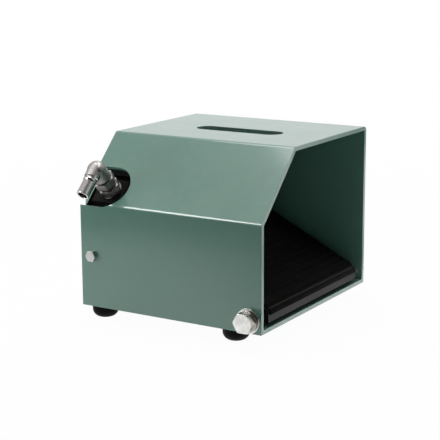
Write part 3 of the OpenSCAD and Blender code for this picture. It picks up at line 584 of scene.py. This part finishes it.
# the sides of the head are painted duller than its face and the lock washer dark: painted shade under the head
head_sides_painted_shade = slice_across(bolt_low.x + HEAD_RIM, lock_low.x - SEAM, lock_centre, shade(158, 154, 145))
lock_washer = slice_across(lock_low.x + SEAM, lock_high.x - SEAM, lock_centre, shade(112, 106, 94))
plated("hinge_steel", shade(224, 224, 222), shade(204, 204, 201), rough=0.28, turn=(0, 90, 0), depth=0.000004,
    radius=0.0003, zones=(head_sides_painted_shade, lock_washer))
plated("zinc_screws", shade(212, 212, 210), shade(190, 191, 189), rough=0.34, turn=(0, 90, 0), depth=0.000015)
plated("dark_screws", shade(42, 42, 44), shade(30, 30, 32), rough=0.42, turn=(90, 0, 0))

# %% The metals of the fittings and the valve
ELBOW_TO_MOUNT, ELBOW_TO_TUBE = 0.0228, 0.0227
TUBE_HALF = (0.0117, AROUND, 0.0117)
inlet = mount_of["inlet_thread"]
DOWN_SLOPE = Vector(inlet["axis"]).normalized()
OUTWARD = Vector((DOWN_SLOPE.x, 0, -DOWN_SLOPE.z)).normalized()
elbow_centre = Vector(inlet["pos_m"]) - DOWN_SLOPE * ELBOW_TO_MOUNT
tube_middle = elbow_centre + DOWN_SLOPE * ELBOW_TO_TUBE
plated("fitting_zinc", shade(158, 155, 153), shade(136, 133, 131), rough=0.46, turn=(0, 45, 0), depth=0.000012,
    polished=(tuple(tube_middle), TUBE_HALF, shade(196, 194, 192), 0.12))
plated("seal_washer", shade(120, 119, 116), shade(90, 90, 88), rough=0.42)
plated("bronze", shade(188, 150, 96), shade(168, 130, 80), rough=0.3)
plated("ground_steel", shade(196, 197, 199), shade(180, 181, 184), rough=0.16, across=4000, depth=0.00001)
plated("spring_steel", shade(122, 123, 127), shade(98, 98, 102), rough=0.34, depth=0.00002)
print("all finishes:", sorted(finish_of))

# %% [markdown]
# ## Dress the CAD nodes
#
# A CAD node whose shape is right only needs a material. Its mesh and its place stay as they are, because the
# joints and the collision shapes go with them. The record says which finish each node has.

# %% Put the finishes on the CAD nodes
for node, solid in frame["nodes"].items():
    solid.data.materials.clear()
    solid.data.materials.append(finish_of[slot_of[node]])
print(len(frame["nodes"]), "nodes have their finish")

# %% [markdown]
# ## Helpers for modelling
#
# The small pieces that a CAD solid leaves out are modelled as by hand: a primitive is added, shaped in edit
# mode and finished with modifiers. Every operator works on what is selected, so a helper first clears the
# selection. Faces are picked by where they are and where they look.

# %% Modelling helpers
def take(piece=None):
    """Leaves edit mode, deselects everything and takes one piece in hand."""
    if bpy.context.object and bpy.context.object.mode != "OBJECT":
        bpy.ops.object.mode_set(mode="OBJECT")
    bpy.ops.object.select_all(action="DESELECT")
    if piece:
        piece.select_set(True)
        bpy.context.view_layer.objects.active = piece
    return piece


def pick_faces(piece, wanted):
    """Enters edit mode with just those faces selected for which wanted(centre, normal) holds."""
    take(piece)
    bpy.ops.object.mode_set(mode="EDIT")
    bpy.ops.mesh.select_mode(type="FACE")
    bpy.ops.mesh.select_all(action="DESELECT")
    bpy.ops.object.mode_set(mode="OBJECT")
    for face in piece.data.polygons:
        face.select = wanted(face.center, face.normal)
    bpy.ops.object.mode_set(mode="EDIT")


def shape_with(piece, kind, **settings):
    """Adds a modifier and applies it at once."""
    take(piece)
    modifier = piece.modifiers.new(kind.lower(), kind)
    for key, value in settings.items():
        setattr(modifier, key, value)
    bpy.ops.object.modifier_apply(modifier=modifier.name)


def melt(piece, voxel, softness, rounds, **settings):
    """Runs the lumps of a piece together with a fine remesh, and relaxes the skin a little."""
    shape_with(piece, "REMESH", mode="VOXEL", voxel_size=voxel, **settings)
    shape_with(piece, "SMOOTH", factor=softness, iterations=rounds)


def settle(piece, name, body, slot, *stands_for, smooth=None):
    """Bakes the place into the mesh, gives the piece its finish and lets it ride on its body."""
    take(piece)
    bpy.ops.object.transform_apply(location=True, rotation=True, scale=True)
    if smooth is None:
        bpy.ops.object.shade_smooth()
    else:
        bpy.ops.object.shade_smooth_by_angle(angle=math.radians(smooth))
    piece.name = piece.data.name = name
    piece.data.materials.clear()
    piece.data.materials.append(finish_of[slot])
    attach(piece, body)
    if stands_for:
        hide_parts(*stands_for)
    print(name, "has", len(piece.data.polygons), "faces")
    return piece


# %% Helpers for round pieces
def looks_up(centre, normal):
    return normal.z > 0.9


def looks_down(centre, normal):
    return normal.z < -0.9


def turned_rod(radius, low, high):
    """A round rod along z from low to high."""
    take()
    bpy.ops.mesh.primitive_cylinder_add(vertices=64, radius=radius, depth=high - low,
        location=(0, 0, (low + high) / 2))
    bpy.ops.object.transform_apply(location=True)
    return bpy.context.object


def wind(section, turns, steps, height):
    """Winds a closed section round the z axis with a Screw modifier, and closes both ends."""
    bpy.ops.object.transform_apply(location=True, rotation=True)
    shape_with(section, "SCREW", axis="Z", angle=math.radians(360 * turns), iterations=1,
        steps=steps, render_steps=steps, screw_offset=height)
    bpy.ops.object.mode_set(mode="EDIT")
    bpy.ops.mesh.select_all(action="SELECT")
    bpy.ops.mesh.fill_holes(sides=0)
    bpy.ops.mesh.normals_make_consistent(inside=False)
    bpy.ops.object.mode_set(mode="OBJECT")


# %% [markdown]
# ## The elbow
#
# The elbow is a zinc-plated forging: a round-shouldered boss on the port's axis and an arm that runs down the
# slope, necked behind a collar and open at its end. The CAD solid has its sizes but sharp creases where boss
# and arm meet. A forging has soft fillets there, so its rods are modelled one by one and melted together with
# a fine voxel remesh, which is then relaxed a little. It is made upright at the origin and moved to its place
# at the end.

# %% Where the elbow sits
elbow_place = Matrix((DOWN_SLOPE, OUTWARD.cross(DOWN_SLOPE), OUTWARD)).transposed().to_4x4()
elbow_place.translation = elbow_centre
print("elbow centre in mm:", [round(v * 1000, 1) for v in elbow_centre])

# %% The boss
BOSS_RADIUS, BOSS_LOW, BOSS_HIGH, SHOULDER = 0.009, -0.0135, 0.0057, 0.0062
SEAT_RADIUS, SEAT_LOW, SEAT_HIGH = 0.0062, -0.0160, -0.0130

boss = turned_rod(BOSS_RADIUS, BOSS_LOW, BOSS_HIGH)
pick_faces(boss, looks_up)
bpy.ops.mesh.bevel(offset=SHOULDER, segments=7, affect="EDGES")
bpy.ops.object.mode_set(mode="OBJECT")
seat = turned_rod(SEAT_RADIUS, SEAT_LOW, SEAT_HIGH)
print("boss:", len(boss.data.polygons), "faces")

# %% The arm, drawn out face by face
ARM_RADIUS, ARM_LOW, ARM_HIGH, HEEL = 0.0072, -0.0058, 0.0110, 0.0046
NECK, COLLAR, TUBE = (0.0060, 0.0018), (0.0066, 0.0022), (0.0061, 0.0160)
TUBE_WALL, BORE_DEPTH = 0.0016, 0.012


def at_the_tip(centre, normal):
    return looks_up(centre, normal) and centre.z > tip - 1e-5


arm = turned_rod(ARM_RADIUS, ARM_LOW, ARM_HIGH)
pick_faces(arm, looks_down)
bpy.ops.mesh.bevel(offset=HEEL, segments=3, affect="EDGES")
radius, tip = ARM_RADIUS, ARM_HIGH
for next_radius, reach in (NECK, COLLAR, TUBE):
    pick_faces(arm, at_the_tip)
    bpy.ops.mesh.extrude_region_move()
    bpy.ops.transform.resize(value=(next_radius / radius, next_radius / radius, 1))
    bpy.ops.mesh.extrude_region_move(TRANSFORM_OT_translate={"value": (0, 0, reach)})
    bpy.ops.object.mode_set(mode="OBJECT")
    radius, tip = next_radius, tip + reach
pick_faces(arm, at_the_tip)
bpy.ops.mesh.inset(thickness=TUBE_WALL, depth=0)
bpy.ops.mesh.extrude_region_move(TRANSFORM_OT_translate={"value": (0, 0, -BORE_DEPTH)})
take(arm)
arm.rotation_euler = (0, math.pi / 2, 0)
bpy.ops.object.transform_apply(rotation=True)
arm_span = [f(v.co.x for v in arm.data.vertices) for f in (min, max)]
print("arm spans", [round(x * 1000, 1) for x in arm_span], "mm along the slope")

# %% Melt the forging together
take(boss)
seat.select_set(True)
arm.select_set(True)
bpy.ops.object.join()
forging = bpy.context.object
melt(forging, voxel=0.00036, softness=0.5, rounds=3, use_smooth_shade=True)
forging.matrix_world = elbow_place
settle(forging, "elbow_forging", "guard", "fitting_zinc", "elbow")

# %% [markdown]
# ## The return spring
#
# A closed and ground compression spring: its two end turns lie flat, and the free turns climb between them.
# The free turns are one wire section on a Screw modifier, and each end turn is a ring. When the pedal goes
# down the spring gets shorter and not smaller; here it is wound at its full length and stands on its lower
# end.

# %% The coil
WIRE, FREE_TURNS, STEPS_A_TURN = 0.001, 3, 36
spring_low, spring_high = (Vector(corner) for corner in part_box("return_spring"))
mean_radius = (spring_high.x - spring_low.x) / 2 - WIRE
spring_axis = Vector(((spring_low.x + spring_high.x) / 2, (spring_low.y + spring_high.y) / 2, spring_low.z))
spring_length = spring_high.z - spring_low.z
take()
bpy.ops.mesh.primitive_circle_add(vertices=12, radius=WIRE, location=(mean_radius, 0, WIRE),
    rotation=(math.pi / 2, 0, 0))
coil = bpy.context.object
wind(coil, FREE_TURNS, FREE_TURNS * STEPS_A_TURN, spring_length - 2 * WIRE)
print("coil:", len(coil.data.polygons), "faces")

# %% The end turns
turns = [coil]
for height in (WIRE, spring_length - WIRE):
    take()
    bpy.ops.mesh.primitive_torus_add(major_radius=mean_radius, minor_radius=WIRE, major_segments=64,
        minor_segments=12, location=(0, 0, height))
    turns.append(bpy.context.object)
take(coil)
for turn in turns:
    turn.select_set(True)
bpy.ops.object.join()
spring = bpy.context.object
spring.location = spring_axis
settle(spring, "wound_spring", "guard", "spring_steel", "return_spring")
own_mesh(spring)

# %% [markdown]
# ## Threads
#
# Threads are too fine for the CAD model, where they are plain cylinders. Each one here is a small diamond
# section on a Screw modifier, which winds a ridge round the cylinder. The hose end behind the guard and the
# end of the hinge bolt show theirs.

# %% A helper that winds a thread
def wind_thread(name, start, axis, radius, pitch, length, slot):
    """A ridge round a cylinder that starts at start and runs along axis."""
    half_section, sunk, steps_a_turn = pitch * 0.36, pitch * 0.05, 40
    take()
    bpy.ops.mesh.primitive_circle_add(vertices=4, radius=half_section, location=(radius - sunk, 0, 0),
        rotation=(math.pi / 2, 0, 0))
    ridge = bpy.context.object
    wind(ridge, length / pitch, round(steps_a_turn * (length / pitch)), length)
    ridge.rotation_euler = Vector(axis).to_track_quat("Z", "Y").to_euler()
    ridge.location = start
    return settle(ridge, name, "guard", slot, smooth=25)


# %% Threads of the outlet and the hinge bolt
FROM_END, INSIDE_NUT = 0.0125, 0.0006
outlet_high = Vector(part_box("outlet_adapter")[1])
outlet = mount_of["outlet_thread"]
thread_end = Vector((outlet["pos_m"][0], outlet_high.y, outlet["pos_m"][2]))
wind_thread("outlet_thread_ridge", thread_end - Vector((0, FROM_END, 0)), (0, 1, 0),
    radius=outlet["dims"]["r_mm"] / 1000, pitch=0.0015, length=0.0112, slot="fitting_zinc")
nut_low, nut_high = (Vector(corner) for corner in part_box("hinge_nut"))
nut_centre = (nut_low + nut_high) / 2
wind_thread("hinge_bolt_thread", (nut_high.x - INSIDE_NUT, nut_centre.y, nut_centre.z), (1, 0, 0),
    radius=0.0058, pitch=0.00175, length=0.0021, slot="hinge_steel")

# %% [markdown]
# ## The mat's nosing
#
# The mat is folded over the treadle's front edge so that a boot can't peel it off. The nosing is drawn as a
# thin strip that follows the fold of the steel, edge by edge, and a Solidify modifier then gives the strip the
# thickness of the rubber.

# %% The line that the nosing follows
FOLD, THICK, LAP = 0.0045, 0.0015, 0.0010
FOLD_UP, OVERLAP, FOLD_STEPS = 0.0085, 0.0009, 8
mat_low, mat_high = (Vector(corner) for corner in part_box("tread_mat"))
fold_centre = Vector((0, plate_low.y + FOLD, plate_low.z + FOLD_UP))
mat_slope = math.atan2(mat_high.z - mat_low.z, mat_high.y - mat_low.y)
outline = [Vector((0, mat_low.y + OVERLAP, mat_low.z))]
for step in range(FOLD_STEPS + 1):
    angle = math.pi / 2 + mat_slope + (math.pi / 2 - mat_slope) * step / FOLD_STEPS
    outline.append(fold_centre + Vector((0, FOLD * math.cos(angle), FOLD * math.sin(angle))))
outline.append(outline[-1] - Vector((0, 0, LAP)))
print("nosing follows", len(outline), "points")

# %% Draw the strip along it
STRIP_START, NEAR = 0.001, 0.0002
begin = outline[0]
take()
bpy.ops.mesh.primitive_plane_add(size=1,
    location=((mat_low.x + mat_high.x) / 2, begin.y + STRIP_START / 2, begin.z))
nosing = bpy.context.object
nosing.scale = (mat_high.x - mat_low.x, STRIP_START, 1)
bpy.ops.object.transform_apply(location=True, rotation=True, scale=True)
pick_faces(nosing, lambda centre, normal: False)
bpy.ops.mesh.select_mode(type="VERT")
bpy.ops.object.mode_set(mode="OBJECT")
for corner in nosing.data.vertices:
    corner.select = corner.co.y < begin.y + NEAR
bpy.ops.object.mode_set(mode="EDIT")
bpy.ops.mesh.select_mode(type="EDGE")
for start, end in zip(outline, outline[1:]):
    bpy.ops.mesh.extrude_edges_move(TRANSFORM_OT_translate={"value": tuple(end - start)})
bpy.ops.object.mode_set(mode="OBJECT")
# the plane that the strip was drawn out of has done its work
pick_faces(nosing, lambda centre, normal: centre.y > begin.y + NEAR / 2 and abs(normal.z) > 0.99)
bpy.ops.mesh.delete(type="FACE")
take(nosing)
print("nosing strip:", len(nosing.data.polygons), "faces")

# %% Give the strip its thickness
# Solidify grows the strip to the outside, whichever way its faces look
outward = 1 if nosing.data.polygons[0].normal.z > 0 else -1
shape_with(nosing, "SOLIDIFY", thickness=THICK, offset=outward, use_even_offset=True)
shape_with(nosing, "BEVEL", width=0.0003, segments=2, limit_method="ANGLE", angle_limit=math.radians(50))
settle(nosing, "mat_nosing", "pedal", "mat_rubber", smooth=35)

# %% [markdown]
# ## Weld beads
#
# The floor is let in between the side walls and held by short fillet welds, painted over with the rest. A
# bead is a row of frozen drops, each lapping over the last. One drop is shaped and repeated by an Array
# modifier, a remesh runs the drops together, and the bead is then copied along both corners.

# %% One bead
DROP_RADIUS, DROPS, DROP_PITCH = 0.0021, 17, 0.0012
take()
bpy.ops.mesh.primitive_uv_sphere_add(segments=20, ring_count=12, radius=DROP_RADIUS)
drop = bpy.context.object
bpy.ops.transform.resize(value=(1.0, 0.75, 1.0))
bpy.ops.object.transform_apply(scale=True)
shape_with(drop, "ARRAY", count=DROPS, use_relative_offset=False, use_constant_offset=True,
    constant_offset_displace=(0, DROP_PITCH, 0))
melt(drop, voxel=0.00045, softness=0.4, rounds=1)
print("bead:", len(drop.data.polygons), "faces, length", round(drop.dimensions.y * 1000), "mm")

# %% Lay the beads
BEHIND_FRONT = {"middle": 0.075, "rear": 0.165}
floor_low, floor_high = (Vector(corner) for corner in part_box("floor_plate"))
beads = []
for side, x in (("left", floor_low.x), ("right", floor_high.x)):
    for spot, y in BEHIND_FRONT.items():
        take(drop)
        bpy.ops.object.duplicate()
        bead = bpy.context.object
        bead.location = (x, floor_low.y + y, floor_high.z)
        beads.append(settle(bead, f"floor_weld_{side}_{spot}", "guard", "guard_paint"))
take(drop)
bpy.ops.object.delete()
print(len(beads), "beads")
